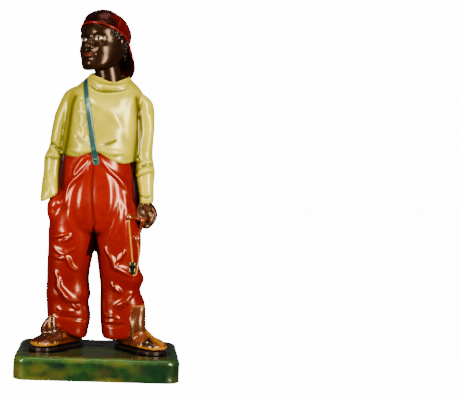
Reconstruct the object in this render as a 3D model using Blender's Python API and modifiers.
"""A painted plaster statue of a boy with a slingshot, on its plinth.

The boy is one casting: cap, head, shirt, baggy trousers, boots and the slingshot in his left fist.
He stands on a low slab of his own. Metres, +Z up, the front faces -Y, and the origin is under the
middle of the plinth. The figure's tables are in millimetres on a boy 572 mm tall, with heights
measured from his soles, and MM turns them into metres at the height chosen here. His right side
is at -x.
"""

import math

import bmesh
import bpy
import numpy as np
from mathutils import Matrix, Vector
from mathutils.bvhtree import BVHTree

# Driving dimensions, in metres
FIGURE_HEIGHT = 0.572
PLINTH_WIDTH = 0.272
PLINTH_DEPTH = 0.195
PLINTH_HEIGHT = 0.038
PLINTH_CORNER = 0.014
PLINTH_ROUNDING = 0.007
SOLE_GAP = 0.0003
STRAP_WIDTH_ABOVE = 0.0074
STRAP_WIDTH_BELOW = 0.0096
STRAP_RELIEF = 0.0014
BUTTON_WIDTH = 0.0056
BAND_THICKNESS = 0.0032
FORK_THICKNESS = 0.0064
KNOB_WIDTH = 0.0112
POUCH_WIDTH = 0.0105
POUCH_LENGTH = 0.0215
POUCH_DEPTH = 0.0070

# How finely the clay is worked, and how many faces it keeps
TABLE_HEIGHT = 572.0
MM = FIGURE_HEIGHT / TABLE_HEIGHT
SOLE_LEVEL = PLINTH_HEIGHT + SOLE_GAP
BODY_GRAIN, BODY_TRIANGLES = 1.6 * MM, 5100
HEAD_GRAIN, HEAD_TRIANGLES = 1.1 * MM, 2300
SLINGSHOT_GRAIN, SLINGSHOT_TRIANGLES = 0.8 * MM, 620

# Level sections: height, centre x, centre y, half width, front depth, back depth, squareness,
# and how much the section rises for each millimetre towards +x and towards +y.
HIPS = [
    (196, -9, 2, 50, 20, 22, 2.2, 0, 0),
    (204, -10, 2, 66, 31, 33, 2.3, 0, 0),
    (222, -11, 1, 74, 40, 42, 2.4, 0, 0),
    (248, -11, 0, 70, 45, 48, 2.4, 0, 0),
    (270, -10, 0, 67, 47, 49, 2.4, 0, 0),
    (292, -10, 0, 63, 47, 47, 2.4, 0, 0),
    (312, -10, -1, 59, 46, 44, 2.4, 0, 0),
    (330, -8, -1, 53, 44, 42, 2.4, 0, 0),
    (340, -8, 0, 46, 36, 36, 2.4, 0, 0),
]
RIGHT_LEG = [
    (28, -51, 8, 27, 22, 24, 2.3, -0.40, 0.10),
    (32, -52, 8, 33, 29, 30, 2.4, -0.40, 0.10),
    (42, -52, 7, 35, 31, 32, 2.5, -0.34, 0.08),
    (60, -51, 6, 37.5, 31, 33, 2.4, -0.16, 0.02),
    (80, -53, 5, 36, 30, 33, 2.3, 0, 0),
    (92, -52, 4, 38, 32, 34, 2.3, 0, 0),
    (117, -53, 3, 36, 32, 33, 2.3, 0, 0),
    (142, -52, 2, 37, 34, 34, 2.3, 0, 0),
    (170, -49, 2, 39, 36, 37, 2.3, 0, 0),
    (203, -48, 2, 40, 37, 40, 2.3, 0, 0),
    (235, -44, 1, 38, 37, 41, 2.2, 0, 0),
    (262, -38, 1, 30, 32, 36, 2.2, 0, 0),
]
LEFT_LEG = [
    (20, 42, 8, 26, 22, 24, 2.3, 0.10, 0.10),
    (24, 42, 8, 34, 29, 30, 2.4, 0.10, 0.10),
    (34, 42, 7, 37, 31, 33, 2.5, 0.08, 0.08),
    (54, 41, 6, 38, 31, 33, 2.4, 0, 0),
    (80, 40, 5, 38, 31, 34, 2.3, 0, 0),
    (102, 36, 4, 34, 30, 32, 2.3, 0, 0),
    (121, 38, 3, 38, 33, 34, 2.3, 0, 0),
    (142, 32, 2, 35, 34, 34, 2.3, 0, 0),
    (170, 31, 2, 38, 36, 37, 2.3, 0, 0),
    (203, 29, 2, 39, 37, 40, 2.3, 0, 0),
    (235, 26, 1, 37, 37, 41, 2.2, 0, 0),
    (262, 20, 1, 30, 32, 36, 2.2, 0, 0),
]
SHIRT = [
    (313, -5, 0, 52, 42, 40, 2.4, 0, 0),
    (315, -5, 0, 60, 51, 47, 2.4, 0, 0),
    (323, -5, 0, 63, 54, 50, 2.4, 0, 0),
    (340, -4, 0, 63, 54, 50, 2.4, 0, 0),
    (365, -4, 0, 62, 51, 48, 2.4, 0, 0),
    (395, -3, 1, 61, 48, 46, 2.4, 0, 0),
    (418, 0, 2, 62, 45, 44, 2.4, 0, 0),
    (434, 3, 3, 61, 40, 39, 2.3, 0, 0.02),
    (444, 6, 4, 52, 37, 34, 2.2, 0, 0.06),
    (452, 8, 5, 43, 35, 29, 2.1, -0.03, 0.10),
    (459, 9, 5, 36, 33, 26, 2.0, -0.06, 0.12),
    (463, 9, 5, 33.5, 31, 24, 2.0, -0.07, 0.13),
    (464, 9, 5, 31, 28, 22, 2.0, -0.07, 0.13),
    (460, 9, 5, 28, 25, 19, 2.0, -0.07, 0.13),
]
RIGHT_SLEEVE = [
    (254, -86, -16, 11, 10, 10, 2.2, 0.52, 0),
    (256, -87, -16, 14.5, 13, 13, 2.4, 0.56, 0),
    (265, -87, -14, 15, 14, 14, 2.3, 0.50, 0),
    (280, -86, -8, 14.5, 15, 15, 2.2, 0.2, 0),
    (300, -84.5, -1, 14.5, 16, 16, 2.2, 0.1, 0),
    (322, -83, 4, 15.5, 17, 17, 2.1, 0, 0),
    (340, -78, 5, 13, 17, 17, 2.1, 0, 0),
    (362, -74, 4, 14, 18, 18, 2.1, 0, 0),
    (392, -67, 3, 16, 20, 20, 2.1, 0, 0),
    (414, -58, 3, 17, 21, 22, 2.1, 0, 0),
    (432, -49, 3, 19, 20, 22, 2.1, 0.15, 0),
    (440, -45, 3, 18, 17, 18, 2.1, 0.25, 0),
    (445, -40, 3, 14, 12, 13, 2.1, 0.28, 0),
]
LEFT_SLEEVE = [
    (249, 76, -6, 9, 9, 9, 2.2, 0.08, 0),
    (250, 76, -6, 12, 13, 13, 2.3, 0.08, 0),
    (262, 76, -6, 12.5, 14, 14, 2.3, 0, 0),
    (280, 74, -5, 13.5, 15, 15, 2.2, 0, 0),
    (298, 72, -3, 17, 17, 17, 2.1, 0, 0),
    (310, 71, -1, 17, 17, 17, 2.1, 0, 0),
    (329, 70, 1, 14.5, 17, 17, 2.1, 0, 0),
    (353, 71, 2, 14, 18, 18, 2.1, 0, 0),
    (377, 72, 2, 14, 19, 19, 2.1, 0, 0),
    (402, 69, 3, 16.5, 20, 21, 2.1, 0, 0),
    (420, 64, 3, 18.5, 20, 22, 2.1, -0.15, 0),
    (432, 56, 3, 18, 18, 21, 2.1, -0.25, 0),
    (440, 46, 3, 14, 13, 15, 2.1, -0.3, 0),
]
NECK = [
    (436, 9, 6, 18, 16, 18, 2, 0, 0),
    (446, 8, 5, 22, 19, 20, 2, 0, 0),
    (460, 6, 3, 22, 19, 21, 2, 0, 0),
    (476, 3, 2, 22, 19, 22, 2, 0, 0),
    (492, 1, 1, 22, 18, 22, 2, 0, 0),
]
# What fills the hollow between the left arm and the hip, set back from the front
ARM_WEB = [
    (246, 60, 6, 5, 6, 6, 2, 0, 0),
    (252, 60, 6, 12, 12, 12, 2.2, 0, 0),
    (290, 56, 6, 12, 14, 14, 2.2, 0, 0),
    (325, 58, 6, 12, 14, 14, 2.2, 0, 0),
]
POCKETED_HAND = [
    (206, -70, -12, 6, 8, 8, 2, 0, 0),
    (212, -72, -12, 13, 15, 14, 2, 0, 0),
    (232, -75, -14, 16, 18, 16, 2, 0, 0),
    (250, -76, -14, 14, 16, 14, 2, 0.3, 0),
    (262, -76, -13, 9, 11, 10, 2, 0.4, 0),
]
PALM = [
    (212, 79, -6, 5, 8, 8, 2, 0, 0),
    (217, 80, -6, 9, 13, 12, 2.1, 0, 0),
    (228, 79, -7, 13, 18, 13, 2.2, 0, 0),
    (238, 76, -7, 14, 16, 13, 2.2, 0, 0),
    (247, 75, -6, 11.5, 11, 11, 2.1, 0, 0),
    (256, 75, -6, 10, 10, 10, 2, 0, 0),
]
RIGHT_BOOT_TONGUE = [
    (24, -70, -10, 10, 9, 12, 2.2, 0, 0),
    (36, -72, -12, 13, 12, 14, 2.3, 0.1, 0),
    (52, -75, -12, 10, 12, 13, 2.5, 0.2, 0),
    (57, -75, -12, 7, 9, 9, 2.5, 0.3, 0),
]
LEFT_BOOT_TONGUE = [
    (22, 66, -14, 14, 14, 18, 2.2, 0, 0),
    (40, 66, -15, 15, 13, 18, 2.3, 0, 0),
    (62, 66, -12, 14, 13, 18, 2.6, 0.05, 0),
    (80, 66, -11, 14, 13, 16, 3, 0.15, 0),
    (83, 66, -11, 11, 10, 13, 3, 0.15, 0),
]

# The shirt's hem across the front, higher where the strap pulls it up, and level at the back
HEM_X = (-66, -45, -18, -5, 21, 38, 58)
HEM_HEIGHT = (329, 324, 333, 332, 319, 315, 319)
HEM_TABLE_HEIGHT, HEM_BACK_HEIGHT, HEM_FADE = 314, 322, 46

# The head in its own frame: the eyes' line is at height 0 and the nose points to -y
HEAD = [
    (-48, 0, -17, 10, 8, 9, 2, 0, 0.26),
    (-46.5, 0, -14, 18, 18, 17, 2, 0, 0.28),
    (-42, 0, -8, 25, 29.5, 27, 2.1, 0, 0.28),
    (-35, 0, -4, 30, 36, 35, 2.1, 0, 0.24),
    (-26, 0, 0, 33.5, 40, 39, 2.1, 0, 0.16),
    (-15, 0, 3, 36.5, 42.5, 41, 2.2, 0, 0.08),
    (-4, 0, 5, 37, 43, 42, 2.1, 0, 0),
    (8, 0, 5, 37, 44, 43, 2.1, 0, 0),
    (18, 0, 5, 36, 44, 42, 2.1, 0, 0),
    (28, 0, 5, 32, 39, 38, 2.1, 0, 0),
    (37, 0, 5, 24, 29, 29, 2, 0, 0),
    (43, 0, 5, 14, 17, 17, 2, 0, 0),
    (45, 0, 5, 5, 6, 6, 2, 0, 0),
]
HEAD_PLACE = (-4, -4, 517)
HEAD_TURN, HEAD_NOD, HEAD_ROLL = -35, -4, -3
EAR = [
    (-1.0, 0, 0, 0.3, 0.3, 0.3, 2, 0, 0),
    (-0.8, 0, 0, 0.8, 0.4, 0.5, 2, 0, 0),
    (-0.2, 0, 0, 1.0, 0.6, 0.8, 2, 0, 0),
    (0.4, 0, 0, 1.0, 0.85, 1.0, 2, 0, 0),
    (0.9, 0, 0, 0.8, 0.5, 0.7, 2, 0, 0),
    (1.0, 0, 0, 0.3, 0.3, 0.3, 2, 0, 0),
]
EAR_PLACE, EAR_SIZE, EAR_TURN, EAR_HOLLOW = (36, 6, -5), (7, 14, 22), 20, 0.7

# The cap in a frame tipped back on the head, and its visor behind, over the nape
CAP = [
    (-6, 0, 0, 35, 43, 43, 2, 0, 0),
    (-6, 0, 0, 38.5, 46, 46, 2.1, 0, 0),
    (-3, 0, 0, 40, 47.5, 47.5, 2.1, 0, 0),
    (1, 0, 0, 39, 46.5, 46.5, 2.1, 0, 0),
    (12, 0, 0, 38, 45.5, 45.5, 2.1, 0, 0),
    (22, 0, 0, 34, 41, 41, 2.1, 0, 0),
    (31, 0, 0, 26, 32, 32, 2, 0, 0),
    (37, 0, 0, 16, 20, 20, 2, 0, 0),
    (39.5, 0, 0, 5, 6, 6, 2, 0, 0),
]
CAP_PLACE, CAP_TIP = (0, 7, 12), -24
VISOR_ROOT, VISOR_REACH, VISOR_HALF_WIDTH, VISOR_THICKNESS = 38, 27, 30, 3.4
VISOR_DROP, VISOR_ARCH = 38, 9

# Short curls between the cap and the ears and nape: the angle from the nose, the lowest height
CURL_SIZE, CURL_ROWS = 9.5, (18, 10, 2, -6, -14, -22)
CURL_ANGLES = ((66, 4), (75, -4), (102, 6), (112, -14), (124, -24), (138, -24), (152, -24), (168, -24))

# A boot along its own length: distance from the heel, offset, middle height, half width, depth
# below and above the middle, squareness
BOOT = [
    (3, 0, 12, 8, 5, 14, 2.2, 0, 0),
    (6, 0, 12, 15, 6, 30, 2.3, 0, 0),
    (20, 0, 12, 18.5, 6, 36, 2.3, 0, 0),
    (42, 0, 12, 19.5, 6, 33, 2.2, 0, 0),
    (58, 0, 12, 20.5, 6, 23, 2.2, 0, 0),
    (74, 1, 12, 22, 6, 14, 2.3, 0, 0),
    (90, 2, 12, 22, 6, 11.5, 2.4, 0, 0),
    (102, 2, 12, 17, 5, 8, 2.3, 0, 0),
    (107, 2, 12, 8, 3, 4, 2.2, 0, 0),
]
SOLE = [(0, 7), (2, 14), (12, 19), (34, 20), (56, 21.5), (78, 24), (94, 22.5), (104, 16), (109, 6)]
SOLE_THICKNESS, SOLE_SUNK = 8.0, 1.2
RIGHT_HEEL, RIGHT_FOOT_TURN = (-37, 39), -41
LEFT_HEEL, LEFT_FOOT_TURN = (38, 31), 39

# The fist: one finger from the knuckle round to its tip, the spacing of the four, and the thumb
FINGER = [(84, -19, 241), (90, -20, 230), (81, -22, 213), (72, -23, 213), (69, -22, 221)]
FINGER_STEP, FINGER_THICKNESS, FINGERS = (0.4, 7.6, 0.6), 9.2, 4
THUMB = [(66, -12, 246), (62, -18, 238), (63, -23, 230), (70, -27, 226)]

# The slingshot, as x and height on the figure's front, which carries it
FORK_JOINT, FORK_JOINT_Y = (70, 222), -34
NEAR_PRONG = [(70, 222), (58, 225), (46, 227)]
FAR_PRONG = [(70, 222), (65, 207), (60, 191)]
HANDLE_END = (80, -8, 228)
NEAR_BAND = [(46, 221), (50, 190), (54, 155), (54, 150)]
FAR_BAND = [(61, 185), (64, 170), (63, 146), (61, 131), (57, 129)]
POUCH_PLACE = (54.5, 141)

# The strap's middle line down the front, over the shoulder, and down the back
STRAP_FRONT = [(-10, 316), (-15, 343), (-20, 374), (-25, 405), (-29, 430), (-31, 444)]
STRAP_SHOULDER = [(-31, -18), (-31, -6), (-31, 8), (-30, 18)]
STRAP_SHOULDER_ABOVE = 466
STRAP_BACK = [(-29, 436), (-26, 410), (-21, 374), (-16, 345), (-11, 318)]
BUTTON_PLACE = (-11, 321)

# Folds of cloth as lines drawn on the front or the back: points (x, height), rise, half width
TROUSER_FRONT_FOLDS = [
    ([(-18, 327), (-30, 322), (-42, 306), (-47, 293)], 3.8, 4.5),
    ([(-18, 322), (-31, 300), (-52, 277), (-60, 243)], 4.3, 3.8),
    ([(-16, 316), (-29, 290), (-47, 268), (-51, 249), (-50, 224), (-41, 199)], 5.2, 5.2),
    ([(-16, 301), (-29, 281), (-32, 250), (-35, 218)], 4.3, 5.2),
    ([(-7, 326), (14, 302), (29, 290), (37, 272), (45, 251), (49, 231)], 4.6, 5.2),
    ([(-5, 316), (10, 296), (20, 279), (19, 246), (15, 232)], 4.3, 5.0),
    ([(28, 246), (22, 219), (13, 189)], 4.3, 4.6),
    ([(36, 250), (36, 220), (43, 197), (43, 177)], 3.5, 4.6),
    ([(1, 280), (2, 262), (1, 246)], 2.9, 9.0),
    ([(-14, 314), (-15, 271), (-13, 235), (-10, 212)], -3.2, 2.6),
    ([(-79, 189), (-63, 194), (-48, 198)], 3.8, 3.6),
    ([(-48, 197), (-53, 189), (-64, 182)], 3.2, 3.4),
    ([(-82, 181), (-72, 168), (-60, 163), (-51, 167), (-41, 174)], 2.9, 3.4),
    ([(-80, 160), (-68, 155), (-55, 156), (-47, 141), (-35, 133)], 3.8, 3.8),
    ([(-76, 133), (-68, 122), (-66, 107), (-54, 92), (-42, 84), (-28, 83)], 5.5, 4.6),
    ([(-60, 97), (-50, 84), (-40, 73), (-31, 68)], 3.5, 3.6),
    ([(-79, 60), (-63, 57), (-38, 53), (-16, 50)], -2.6, 2.8),
    ([(7, 176), (16, 164), (23, 153), (26, 143), (35, 138), (46, 132), (57, 125)], 4.6, 4.6),
    ([(42, 172), (36, 161), (29, 151)], 2.6, 3.8),
    ([(20, 116), (29, 106), (39, 97)], 4.3, 4.4),
    ([(59, 101), (49, 89), (36, 80), (26, 75)], 4.1, 3.8),
    ([(10, 57), (24, 59), (37, 54)], 3.2, 3.4),
    ([(9, 44), (27, 43), (47, 46)], -2.6, 2.8),
]
TROUSER_BACK_FOLDS = [
    ([(-10, 318), (-10, 270), (-10, 214)], -4.1, 4.5),
    ([(-56, 214), (-34, 202), (-14, 206)], 3.8, 5.0),
    ([(44, 212), (22, 200), (-6, 205)], 3.8, 5.0),
    ([(-84, 176), (-60, 160), (-30, 158)], 4.1, 5.0),
    ([(-22, 130), (-44, 112), (-74, 108)], 4.1, 5.0),
    ([(-80, 84), (-56, 72), (-24, 78)], 3.8, 4.4),
    ([(62, 168), (40, 152), (8, 150)], 4.1, 5.0),
    ([(6, 126), (30, 108), (60, 106)], 4.1, 5.0),
    ([(68, 78), (42, 66), (12, 72)], 3.8, 4.4),
    ([(-40, 306), (-46, 276), (-40, 244)], 3.2, 5.5),
    ([(22, 306), (28, 276), (22, 244)], 3.2, 5.5),
]
SHIRT_FRONT_FOLDS = [
    ([(-27, 446), (-11, 436), (7, 434), (26, 436), (44, 441)], -3.1, 3.2),
    ([(-23, 453), (-10, 445), (6, 441), (25, 442), (41, 448)], 2.9, 3.0),
    ([(-30, 428), (-8, 414), (13, 398), (33, 372)], 2.6, 6.5),
    ([(-46, 360), (-34, 350), (-18, 342)], -2.6, 3.4),
    ([(-4, 345), (10, 347), (24, 354)], -3.1, 3.4),
    ([(-6, 338), (16, 333), (39, 334)], 2.9, 4.4),
    ([(-22, 338), (-38, 334), (-54, 338)], 2.3, 4.4),
    ([(52, 432), (46, 404), (44, 372), (48, 342)], 2.3, 6.0),
]
SHIRT_BACK_FOLDS = [
    ([(-34, 436), (-6, 420), (24, 424), (44, 436)], 2.6, 5.0),
    ([(-50, 400), (-34, 366), (-22, 336)], 2.9, 6.0),
    ([(44, 402), (28, 368), (8, 338)], 2.9, 6.0),
    ([(-4, 384), (2, 356), (-2, 334)], 2.3, 6.0),
]
SLEEVE_FOLDS = [
    ([(-94, 350), (-80, 340), (-66, 330)], -3.9, 3.6),
    ([(-99, 323), (-84, 326), (-68, 321)], 3.4, 4.0),
    ([(-92, 300), (-84, 280), (-88, 262)], 2.3, 5.0),
    ([(54, 293), (70, 303), (88, 306)], 3.6, 4.0),
    ([(57, 309), (72, 318), (87, 318)], 2.3, 3.4),
    ([(62, 262), (74, 259), (87, 262)], -2.1, 2.6),
    ([(78, 400), (80, 370), (76, 334)], 2.1, 5.0),
]


def empty_scene():
    """Removes what the file holds, and makes one collection for the part and one for its tools."""
    for old in list(bpy.data.objects):
        bpy.data.objects.remove(old)
    collections = []
    for name in ("boy_statue", "tools"):
        collection = bpy.data.collections.new(name)
        bpy.context.scene.collection.children.link(collection)
        collections.append(collection)
    return collections


def painted(name, colour, roughness):
    material = bpy.data.materials.new(name)
    material.use_nodes = True
    shader = material.node_tree.nodes["Principled BSDF"]
    shader.inputs["Base Color"].default_value = (*colour, 1)
    shader.inputs["Roughness"].default_value = roughness
    shader.inputs["Metallic"].default_value = 0
    return material


def smooth_curve(at, knots, values):
    """Values at the given places on a smooth curve that passes through every knot."""
    knots = np.asarray(knots, float)
    values = np.asarray(values, float)
    slopes = np.gradient(values, knots, axis=0)
    left = np.clip(np.searchsorted(knots, at) - 1, 0, len(knots) - 2)
    width = (knots[left + 1] - knots[left])[:, None]
    s = (at[:, None] - knots[left][:, None]) / width
    return (
        (2 * s**3 - 3 * s**2 + 1) * values[left]
        + (s**3 - 2 * s**2 + s) * width * slopes[left]
        + (3 * s**2 - 2 * s**3) * values[left + 1]
        + (s**3 - s**2) * width * slopes[left + 1]
    )


def smooth_line(points, count):
    """A smooth line of count points through a few given ones."""
    return smooth_curve(np.linspace(0, len(points) - 1, count), np.arange(len(points)), points)


def stack(sections, rings, sides):
    """Points and faces of a closed skin through level sections, with a pole at each end."""
    height, x, y, width, front, back, power, lift_x, lift_y = smooth_line(sections, rings).T
    turn = np.linspace(0, 2 * math.pi, sides, endpoint=False)
    cosine, sine = np.cos(turn)[None], np.sin(turn)[None]
    bend = 2 / power[:, None]
    across = width[:, None] * np.sign(cosine) * np.abs(cosine) ** bend
    depth = np.where(sine < 0, front[:, None], back[:, None])
    along = depth * np.sign(sine) * np.abs(sine) ** bend
    rise = height[:, None] + lift_x[:, None] * across + lift_y[:, None] * along
    grid = np.stack([x[:, None] + across, y[:, None] + along, rise], axis=2).reshape(-1, 3)
    poles = np.array([[x[0], y[0], height[0]], [x[-1], y[-1], height[-1]]])
    low_pole, high_pole, top = rings * sides, rings * sides + 1, (rings - 1) * sides
    faces = []
    for side in range(sides):
        after = (side + 1) % sides
        faces.append((low_pole, after, side))
        faces.append((high_pole, top + side, top + after))
        for low in range(0, top, sides):
            faces.append((low + side, low + after, low + sides + after, low + sides + side))
    return np.concatenate([grid, poles]), faces


def mesh_object(name, points, faces):
    """An object with this mesh: millimetres above the soles become metres above the floor."""
    mesh = bpy.data.meshes.new(name)
    placed = np.asarray(points, float) * MM + np.array([0, 0, SOLE_LEVEL])
    mesh.from_pydata(placed.tolist(), [], faces)
    mesh.update()
    new = bpy.data.objects.new(name, mesh)
    new.hide_render = True
    tools.objects.link(new)
    return new


def normals_of(points, faces):
    mesh = bpy.data.meshes.new("normals")
    mesh.from_pydata(points.tolist(), [], faces)
    mesh.update()
    normals = np.empty(len(points) * 3, np.float32)
    mesh.vertex_normals.foreach_get("vector", normals)
    bpy.data.meshes.remove(mesh)
    return normals.reshape(-1, 3)


def distance_to_line(points, line):
    """Distance in the drawing plane from each point to a line, and its share along the line."""
    nearest = np.full(len(points), np.inf)
    share = np.zeros(len(points))
    for index in range(len(line) - 1):
        reach = line[index + 1] - line[index]
        along = np.clip(((points - line[index]) @ reach) / (reach @ reach), 0, 1)
        gap = np.linalg.norm(points - line[index] - along[:, None] * reach, axis=1)
        closer = gap < nearest
        nearest[closer] = gap[closer]
        share[closer] = (index + along[closer]) / (len(line) - 1)
    return nearest, share


def folded(points, faces, folds, facing):
    """The skin with each fold raised as a rounded ridge beside a shallow trough, or sunk as a
    valley where its rise is negative. facing is -1 for the front and 1 for the back."""
    normals = normals_of(points, faces)
    turned = np.clip((normals[:, 1] * facing + 0.1) / 0.5, 0, 1)
    moved = np.zeros(len(points))
    for line, rise, width in folds:
        gap, share = distance_to_line(points[:, [0, 2]], smooth_line(line, 14))
        fade = np.clip(np.minimum(share, 1 - share) / 0.16, 0, 1)
        ridge = 1.3 * np.exp(-((gap / width) ** 2)) - 0.45 * np.exp(-((gap / (2 * width)) ** 2))
        moved += rise * ridge * fade * (2 - fade)
    return points + normals * (moved * turned)[:, None]


def placed(points, turn, nod, roll, where):
    """Points nodded, rolled and turned about the vertical, in degrees, then moved."""
    turning = (
        Matrix.Rotation(math.radians(turn), 3, "Z")
        @ Matrix.Rotation(math.radians(roll), 3, "Y")
        @ Matrix.Rotation(math.radians(nod), 3, "X")
    )
    return points @ np.array(turning).T + np.array(where)


def on_head(points):
    return placed(points, HEAD_TURN, HEAD_NOD, HEAD_ROLL, HEAD_PLACE)


def trousers():
    """The seat, the two legs and the hand pushed into the right pocket."""
    for name, sections, rings in (("hips", HIPS, 60), ("leg", RIGHT_LEG, 90), ("leg", LEFT_LEG, 90)):
        points, faces = stack(sections, rings, 96)
        points = folded(points, faces, TROUSER_FRONT_FOLDS, -1)
        points = folded(points, faces, TROUSER_BACK_FOLDS, 1)
        mesh_object(name, points, faces)
    mesh_object("pocketed_hand", *stack(POCKETED_HAND, 24, 32))


def hung_hem(points):
    """The shirt's lowest part follows the hem."""
    across = np.clip(points[:, 0], HEM_X[0], HEM_X[-1])
    hem = smooth_curve(across, HEM_X, np.array(HEM_HEIGHT)[:, None])[:, 0]
    front = np.clip(0.5 - points[:, 1] / 60, 0, 1)
    lift = (hem - HEM_TABLE_HEIGHT) * front + (HEM_BACK_HEIGHT - HEM_TABLE_HEIGHT) * (1 - front)
    fade = np.clip(1 - (points[:, 2] - HEM_TABLE_HEIGHT) / HEM_FADE, 0, 1)
    return points + np.outer(lift * fade, (0, 0, 1))


def shirt():
    """The shirt's body with its open neck, and the two sleeves."""
    points, faces = stack(SHIRT, 80, 110)
    points = folded(hung_hem(points), faces, SHIRT_FRONT_FOLDS, -1)
    mesh_object("shirt_body", folded(points, faces, SHIRT_BACK_FOLDS, 1), faces)
    for sections in (RIGHT_SLEEVE, LEFT_SLEEVE):
        points, faces = stack(sections, 80, 48)
        mesh_object("sleeve", folded(points, faces, SLEEVE_FOLDS, -1), faces)
    mesh_object("arm_web", *stack(ARM_WEB, 20, 24))


def hill(points, x, height, wide, tall):
    """A smooth hill of height 1 on both halves of the face, centred at x and at this height."""
    across = (np.abs(points[:, 0]) - x) / wide
    up = (points[:, 2] - height) / tall
    return np.exp(-(across**2) - up**2)


def features(points):
    """How far each point of the head stands forward of the plain egg: a calm, ordinary face."""
    up = points[:, 2]
    bridge = np.clip((3 - up) / 17, 0, 1) * np.clip((up + 19) / 4, 0, 1)
    slope = 3.0 + 9.0 * np.clip((2 - up) / 16, 0, 1)
    nose = bridge * slope * np.exp(-((points[:, 0] / 6.0) ** 2))
    nose += 3.4 * hill(points, 0, -12.5, 5.4, 4.6) + 5.2 * hill(points, 7.6, -14.5, 3.8, 3.4)
    eyes = 4.4 * hill(points, 15.5, -0.5, 6.6, 4.0) - 5.4 * hill(points, 15.5, 1.5, 8.4, 5.6)
    brows = 2.0 * hill(points, 14, 9.5, 9.0, 3.0)
    cheeks = 2.6 * hill(points, 21, -15, 9.0, 9.0)
    mouth = 3.0 * hill(points, 0, -26, 13, 7) - 3.0 * hill(points, 0, -26.2, 11, 1.2)
    lips = 2.6 * hill(points, 0, -23.2, 10, 2.2) + 3.0 * hill(points, 0, -29.4, 9, 2.5)
    chin = 3.0 * hill(points, 0, -41, 9, 5.5) - 1.6 * hill(points, 0, -34.5, 9, 2.2)
    return nose + eyes + brows + cheeks + mouth + lips + chin


def curls():
    """Rows of small round curls on the skull, from in front of each ear round to the nape."""
    heights, _, y, width, front, back = np.array(HEAD)[:, :6].T
    for angle, lowest in CURL_ANGLES:
        for number, height in enumerate(row for row in CURL_ROWS if row >= lowest):
            turn = math.radians(angle + 5 * (number % 2))
            half, depth = np.interp(height, heights, width), np.interp(height, heights, back)
            if turn < math.pi / 2:
                depth = np.interp(height, heights, front)
            middle = np.interp(height, heights, y)
            for side in (-1, 1):
                spot = (side * half * math.sin(turn), middle - depth * math.cos(turn), height)
                ball("curl", above_soles(on_head(np.array(spot))), (CURL_SIZE * MM,) * 3, 1)


def head():
    """The head with its face, and an ear on each side."""
    points, faces = stack(HEAD, 90, 96)
    ahead = np.clip(-normals_of(points, faces)[:, 1] * 1.6, 0, 1)
    points -= np.outer(features(points) * ahead, (0, 1, 0))
    mesh_object("head", on_head(points), faces)
    for side in (-1, 1):
        points, faces = stack(EAR, 16, 20)
        dish = np.exp(-((points[:, 1] / 0.5) ** 2) - (points[:, 2] / 0.55) ** 2)
        points[:, 0] -= np.where(points[:, 0] > 0, EAR_HOLLOW * dish, 0)
        points = placed(points * np.array(EAR_SIZE) / 2, EAR_TURN, 0, 0, EAR_PLACE)
        points[:, 0] *= side
        if side < 0:
            faces = [face[::-1] for face in faces]
        mesh_object("ear", on_head(points), faces)
    mesh_object("neck", *stack(NECK, 20, 40))


def cap():
    """The cap's crown, tipped back, and the curved visor that hangs behind."""
    points, faces = stack(CAP, 40, 64)
    mesh_object("cap", on_head(placed(points, 0, CAP_TIP, 0, CAP_PLACE)), faces)
    columns, rows = 17, 9
    across, reach = np.meshgrid(np.linspace(-1, 1, columns), np.linspace(0, 1, rows), indexing="ij")
    edge = np.sqrt(1 - 0.96 * across**2)
    sheet = np.stack(
        [
            VISOR_HALF_WIDTH * across,
            4 + (VISOR_ROOT + VISOR_REACH * reach) * edge**0.7,
            -2 - VISOR_DROP * reach * edge**0.8 - VISOR_ARCH * across**2,
        ],
        axis=2,
    ).reshape(-1, 3)
    quads = [
        (a * rows + b, (a + 1) * rows + b, (a + 1) * rows + b + 1, a * rows + b + 1)
        for a in range(columns - 1)
        for b in range(rows - 1)
    ]
    visor = mesh_object("visor", on_head(sheet), quads)
    wall = visor.modifiers.new("thickness", "SOLIDIFY")
    wall.thickness = VISOR_THICKNESS * MM
    wall.offset = 0
    keep_modified(visor)


def boots():
    """Each boot has an upper, a flat sole and a tongue that stands against the trouser leg."""
    middle = SOLE_THICKNESS / 2 - SOLE_SUNK
    half = SOLE_THICKNESS / 2
    sole = [(along, 0, middle, width, half, half, 8, 0, 0) for along, width in SOLE]
    for (x, y), turn in ((RIGHT_HEEL, RIGHT_FOOT_TURN), (LEFT_HEEL, LEFT_FOOT_TURN)):
        for name, sections in (("boot", BOOT), ("sole", sole)):
            points, faces = stack(sections, 40, 40)
            along_foot = np.stack([points[:, 0], -points[:, 2], points[:, 1]], axis=1)
            mesh_object(name, placed(along_foot, turn, 0, 0, (x, y, 0)), faces)
    for tongue in (RIGHT_BOOT_TONGUE, LEFT_BOOT_TONGUE):
        mesh_object("tongue", *stack(tongue, 24, 32))


def above_soles(points):
    """Table millimetres as metres in the part's frame."""
    return np.asarray(points, float) * MM + np.array([0, 0, SOLE_LEVEL])


def fist():
    """The palm and wrist, four curled fingers and the thumb over the slingshot's handle."""
    mesh_object("palm", *stack(PALM, 24, 32))
    for number in range(FINGERS):
        finger = np.array(FINGER) + number * np.array(FINGER_STEP)
        bar("finger", above_soles(smooth_line(finger, 14)), FINGER_THICKNESS * MM)
    bar("thumb", above_soles(smooth_line(THUMB, 14)), FINGER_THICKNESS * MM)


def keep_modified(target):
    """Replaces the object's mesh with what its modifiers make of it."""
    bpy.context.view_layer.update()
    evaluated = target.evaluated_get(bpy.context.evaluated_depsgraph_get())
    mesh = bpy.data.meshes.new_from_object(evaluated)
    target.modifiers.clear()
    target.data = mesh


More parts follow.
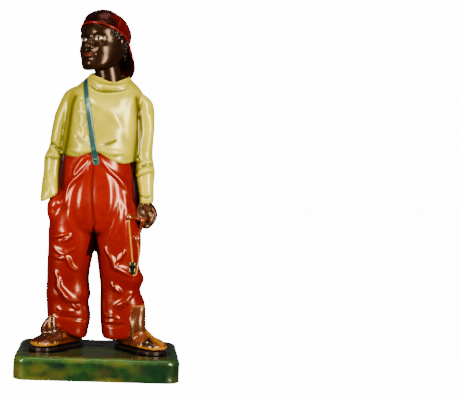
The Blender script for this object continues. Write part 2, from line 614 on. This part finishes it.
def bar(name, points, thickness):
    """A round bar along a line, with flat closed ends."""
    curve = bpy.data.curves.new(name, "CURVE")
    curve.dimensions = "3D"
    curve.bevel_depth = thickness / 2
    curve.bevel_resolution = 2
    curve.use_fill_caps = True
    spline = curve.splines.new("POLY")
    spline.points.add(len(points) - 1)
    for point, place in zip(spline.points, points):
        point.co = (*place, 1)
    holder = bpy.data.objects.new(name, curve)
    tools.objects.link(holder)
    bpy.context.view_layer.update()
    evaluated = holder.evaluated_get(bpy.context.evaluated_depsgraph_get())
    mesh = bpy.data.meshes.new_from_object(evaluated)
    bpy.data.objects.remove(holder)
    welded = bmesh.new()
    welded.from_mesh(mesh)
    bmesh.ops.remove_doubles(welded, verts=welded.verts, dist=0.00001)
    bmesh.ops.recalc_face_normals(welded, faces=welded.faces)
    welded.to_mesh(mesh)
    welded.free()
    new = bpy.data.objects.new(name, mesh)
    new.hide_render = True
    tools.objects.link(new)
    return new


def ball(name, place, size, subdivisions=2):
    """An egg of this size along x, y and z."""
    mesh = bpy.data.meshes.new(name)
    shape = bmesh.new()
    where = Matrix.Translation(Vector(place)) @ Matrix.Diagonal((*size, 1))
    bmesh.ops.create_icosphere(shape, subdivisions=subdivisions, radius=0.5, matrix=where)
    shape.to_mesh(mesh)
    shape.free()
    new = bpy.data.objects.new(name, mesh)
    new.hide_render = True
    tools.objects.link(new)
    return new


def one_skin(name, pieces, grain, triangles, collection):
    """Works overlapping pieces into one closed skin, with as few faces as the carving needs."""
    whole = bmesh.new()
    for piece in pieces:
        whole.from_mesh(piece.data)
        bpy.data.objects.remove(piece)
    mesh = bpy.data.meshes.new(name)
    whole.to_mesh(mesh)
    whole.free()
    skinned = bpy.data.objects.new(name, mesh)
    collection.objects.link(skinned)
    skin = skinned.modifiers.new("one_skin", "REMESH")
    skin.mode = "VOXEL"
    skin.voxel_size = grain
    keep_modified(skinned)
    fewer = skinned.modifiers.new("fewer_faces", "DECIMATE")
    fewer.ratio = triangles / sum(len(face.vertices) - 2 for face in skinned.data.polygons)
    fewer.use_collapse_triangulate = True
    keep_modified(skinned)
    return skinned


def found_on(tree, points, lift, view="front"):
    """Points drawn as two coordinates, laid on the surface that a ray from the front, the back or
    above meets first, and the outward directions there."""
    found, outward = [], []
    for first, second in points:
        if view == "above":
            start = Vector(above_soles((first, second, STRAP_SHOULDER_ABOVE)))
            ray = Vector((0, 0, -1))
        else:
            sign = 1 if view == "front" else -1
            start = Vector((first * MM, -sign * FIGURE_HEIGHT, second * MM + SOLE_LEVEL))
            ray = Vector((0, sign, 0))
        place, normal, _, _ = tree.ray_cast(start, ray)
        found.append(place + normal * lift)
        outward.append(normal)
    return np.array(found), np.array(outward)


def smoothed(rows, passes):
    """Each row drawn towards its neighbours; the end rows stay."""
    rows = rows.copy()
    for _ in range(passes):
        rows[1:-1] = (rows[:-2] + 2 * rows[1:-1] + rows[2:]) / 4
    return rows


def strap(tree):
    """A flat ribbon over the right shoulder, let into the shirt."""
    front, front_out = found_on(tree, smooth_line(STRAP_FRONT, 18), 0)
    over, over_out = found_on(tree, smooth_line(STRAP_SHOULDER, 6), 0, "above")
    back, back_out = found_on(tree, smooth_line(STRAP_BACK, 12), 0, "back")
    line = smoothed(np.concatenate([front, over, back]), 4)
    outward = smoothed(np.concatenate([front_out, over_out, back_out]), 8)
    forward = np.gradient(line, axis=0)
    side = np.cross(forward, outward)
    side /= np.linalg.norm(side, axis=1)[:, None]
    outward = np.cross(side, forward)
    outward /= np.linalg.norm(outward, axis=1)[:, None]
    low, high = line[:, 2].min(), line[:, 2].max()
    share = (line[:, 2] - low) / (high - low)
    half = (STRAP_WIDTH_BELOW + (STRAP_WIDTH_ABOVE - STRAP_WIDTH_BELOW) * share) / 2
    root, edge, face = -2.6 * STRAP_RELIEF, 0.6 * STRAP_RELIEF, STRAP_RELIEF
    profile = ((-1, root), (-1, edge), (-0.72, face), (0.72, face), (1, edge), (1, root))
    rows = [line + side * (half * wide)[:, None] + outward * rise for wide, rise in profile]
    points = np.stack(rows, axis=1).reshape(-1, 3)
    turns, last = len(profile), (len(line) - 1) * len(profile)
    faces = [tuple(range(turns)), tuple(range(last + turns - 1, last - 1, -1))]
    for ring in range(0, last, turns):
        for corner in range(turns):
            after = (corner + 1) % turns
            faces.append((ring + corner, ring + turns + corner, ring + turns + after, ring + after))
    mesh = bpy.data.meshes.new("strap")
    mesh.from_pydata(points.tolist(), [], faces)
    outside = bmesh.new()
    outside.from_mesh(mesh)
    bmesh.ops.recalc_face_normals(outside, faces=outside.faces)
    outside.to_mesh(mesh)
    outside.free()
    ribbon = bpy.data.objects.new("strap", mesh)
    ribbon.hide_render = True
    tools.objects.link(ribbon)
    return ribbon


def button(tree):
    place, _ = found_on(tree, [BUTTON_PLACE], STRAP_RELIEF)
    return ball("button", place[0], (BUTTON_WIDTH, BUTTON_WIDTH, BUTTON_WIDTH))


def slingshot(tree):
    """The fork with its handle in the fist, two knobs, the bands and the pouch on the trousers,
    worked into one small skin of its own."""
    joint = above_soles([(FORK_JOINT[0], FORK_JOINT_Y, FORK_JOINT[1])])
    pieces = [bar("handle", np.concatenate([joint, above_soles([HANDLE_END])]), FORK_THICKNESS)]
    pieces.append(ball("joint", joint[0], (1.3 * FORK_THICKNESS,) * 3))
    for prong in (NEAR_PRONG, FAR_PRONG):
        line, _ = found_on(tree, smooth_line(prong[1:], 5), FORK_THICKNESS / 3)
        pieces.append(bar("prong", np.concatenate([joint, line]), FORK_THICKNESS))
        pieces.append(ball("knob", line[-1], (KNOB_WIDTH, KNOB_WIDTH, KNOB_WIDTH)))
    for band in (NEAR_BAND, FAR_BAND):
        line, _ = found_on(tree, smooth_line(band, 12), BAND_THICKNESS / 4)
        pieces.append(bar("band", smoothed(line, 2), BAND_THICKNESS))
    place, _ = found_on(tree, [POUCH_PLACE], POUCH_DEPTH / 4)
    pieces.append(ball("pouch", place[0], (POUCH_WIDTH, POUCH_DEPTH, POUCH_LENGTH)))
    return one_skin("slingshot", pieces, SLINGSHOT_GRAIN, SLINGSHOT_TRIANGLES, tools)


def ground_block():
    """What is cut away under the soles, so that they are flat."""
    mesh = bpy.data.meshes.new("ground")
    shape = bmesh.new()
    size = Matrix.Diagonal((2 * PLINTH_WIDTH, 2 * PLINTH_DEPTH, PLINTH_HEIGHT, 1))
    where = Matrix.Translation((0, 0, SOLE_LEVEL - PLINTH_HEIGHT / 2)) @ size
    bmesh.ops.create_cube(shape, size=1, matrix=where)
    shape.to_mesh(mesh)
    shape.free()
    block = bpy.data.objects.new("ground", mesh)
    block.hide_render = True
    block.display_type = "WIRE"
    tools.objects.link(block)
    return block


def combine(target, other, operation):
    """Adds the other mesh to the target, or takes it away, as a Boolean."""
    step = target.modifiers.new(other.name, "BOOLEAN")
    step.operation = operation
    step.solver = "EXACT"
    step.object = other
    keep_modified(target)
    bpy.data.objects.remove(other)


def make_figure():
    for model in (head, cap, curls):
        model()
    above = one_skin("head", list(tools.objects), HEAD_GRAIN, HEAD_TRIANGLES, statue)
    for model in (trousers, shirt, boots, fist):
        model()
    figure = one_skin("figure", list(tools.objects), BODY_GRAIN, BODY_TRIANGLES, statue)
    tree = BVHTree.FromObject(figure, bpy.context.evaluated_depsgraph_get())
    additions = [above, strap(tree), button(tree), slingshot(tree)]
    combine(figure, ground_block(), "DIFFERENCE")
    for addition in additions:
        combine(figure, addition, "UNION")
    figure.data.shade_smooth()
    figure.data.set_sharp_from_angle(angle=math.radians(50))
    figure.data.materials.clear()
    figure.data.materials.append(painted("painted_plaster", (0.42, 0.03, 0.02), 0.25))


def make_plinth():
    """A low slab with rounded upright corners and softened top edges."""
    mesh = bpy.data.meshes.new("plinth")
    shape = bmesh.new()
    size = Matrix.Diagonal((PLINTH_WIDTH, PLINTH_DEPTH, PLINTH_HEIGHT, 1))
    where = Matrix.Translation((0, 0, PLINTH_HEIGHT / 2)) @ size
    bmesh.ops.create_cube(shape, size=1, matrix=where)
    upright = [e for e in shape.edges if abs(e.verts[0].co.z - e.verts[1].co.z) > PLINTH_HEIGHT / 2]
    soften(shape, upright, PLINTH_CORNER, 6)
    rim = [e for e in shape.edges if min(v.co.z for v in e.verts) > PLINTH_HEIGHT * 0.99]
    soften(shape, rim, PLINTH_ROUNDING, 4)
    shape.to_mesh(mesh)
    shape.free()
    plinth = bpy.data.objects.new("plinth", mesh)
    statue.objects.link(plinth)
    mesh.shade_smooth()
    mesh.set_sharp_from_angle(angle=math.radians(40))
    mesh.materials.append(painted("green_ground", (0.03, 0.13, 0.02), 0.4))


def soften(shape, edges, radius, steps):
    bmesh.ops.bevel(
        shape,
        geom=edges,
        offset=radius,
        offset_type="OFFSET",
        segments=steps,
        profile=0.5,
        affect="EDGES",
    )


statue, tools = empty_scene()
make_plinth()
make_figure()
